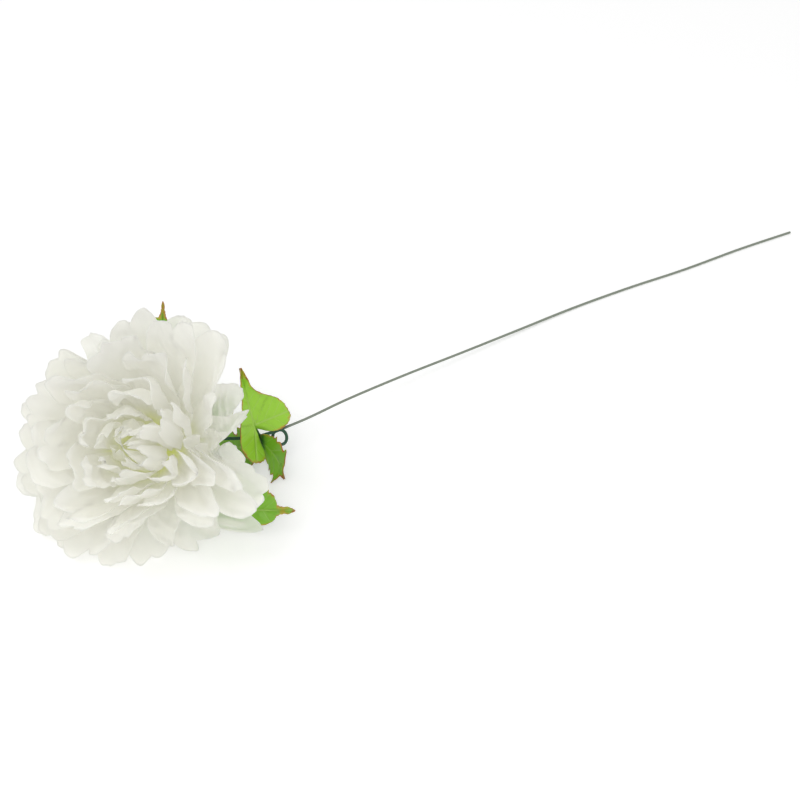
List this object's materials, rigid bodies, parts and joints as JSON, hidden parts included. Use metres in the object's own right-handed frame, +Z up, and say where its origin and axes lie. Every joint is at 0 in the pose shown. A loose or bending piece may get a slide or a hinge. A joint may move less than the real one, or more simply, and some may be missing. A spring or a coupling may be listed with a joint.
{
  "type": "artificial pompon chrysanthemum",
  "caption": "Artificial white pompon chrysanthemum: a ball of layered fabric petals with green fabric leaves, lying down on a bent wire stem with a pigtail loop.",
  "frame": {"origin": "centre of the bounding box's bottom face, on the surface that the flower lies on", "axes": "+X along the stem, from the bloom to the cut end; +Z up"},
  "size_m": [0.5418, 0.1439, 0.1184],
  "materials": {
    "petal_cloth": "thin matt white polyester cloth, slightly see-through",
    "leaf_cloth": "printed yellow-green cloth with red-brown serrated edges",
    "calyx_plastic": "matt moulded green",
    "pin_plastic": "matt moulded pale yellow-green",
    "stem_coat": "grey-green coated steel wire, taped dark green near the bloom"
  },
  "bodies": {
    "root": {"calyx_cup": "calyx_plastic", "calyx_leaf_disc": "leaf_cloth", "core_pin": "pin_plastic", "petal_disc_01": "petal_cloth", "petal_disc_02": "petal_cloth", "petal_disc_03": "petal_cloth", "petal_disc_04": "petal_cloth", "petal_disc_05": "petal_cloth", "petal_disc_06": "petal_cloth", "petal_disc_07": "petal_cloth", "petal_disc_08": "petal_cloth", "petal_disc_09": "petal_cloth", "petal_disc_10": "petal_cloth", "petal_disc_11": "petal_cloth", "stem_leaf_disc": "leaf_cloth", "wire_stem": "stem_coat"}
  },
  "joints": []
}
